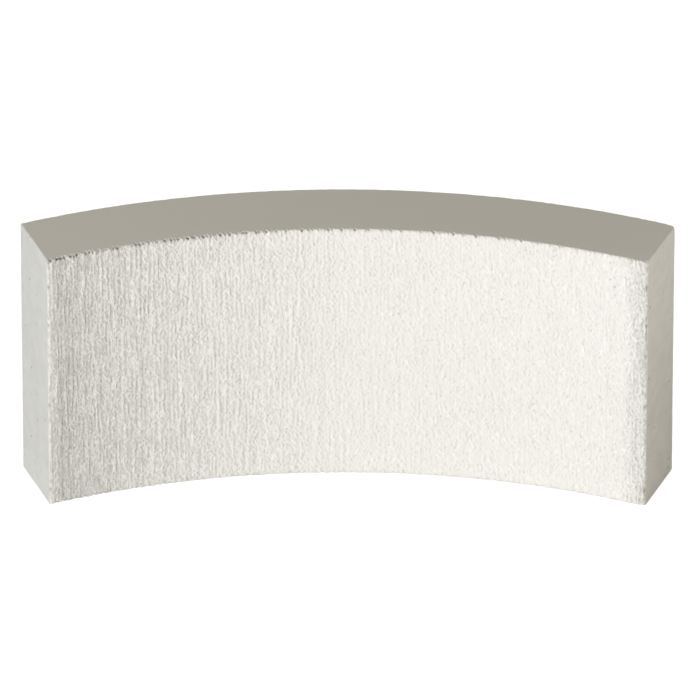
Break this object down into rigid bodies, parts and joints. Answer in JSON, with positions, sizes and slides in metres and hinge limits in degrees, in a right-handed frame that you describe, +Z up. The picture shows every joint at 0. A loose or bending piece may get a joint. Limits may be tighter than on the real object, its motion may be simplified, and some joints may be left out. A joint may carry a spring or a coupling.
{
  "type": "aerated concrete segment block",
  "caption": "Curved block of aerated concrete with a grooved concave face, flat radial ends and flat beds, for building round walls, shafts and columns.",
  "frame": {"origin": "middle of the block's box at the level of the bed face, with the block standing on its bed", "axes": "+Z up, +X along the chord to the right as seen from the concave side, +Y towards the convex face; the ring's axis stands at x = 0, y = -0.672"},
  "size_m": [0.5582, 0.1154, 0.25],
  "materials": {
    "aerated_concrete": "matt, wire-cut with fine upright grooves and open pores"
  },
  "bodies": {
    "root": {"segment_block": "aerated_concrete"}
  },
  "joints": []
}
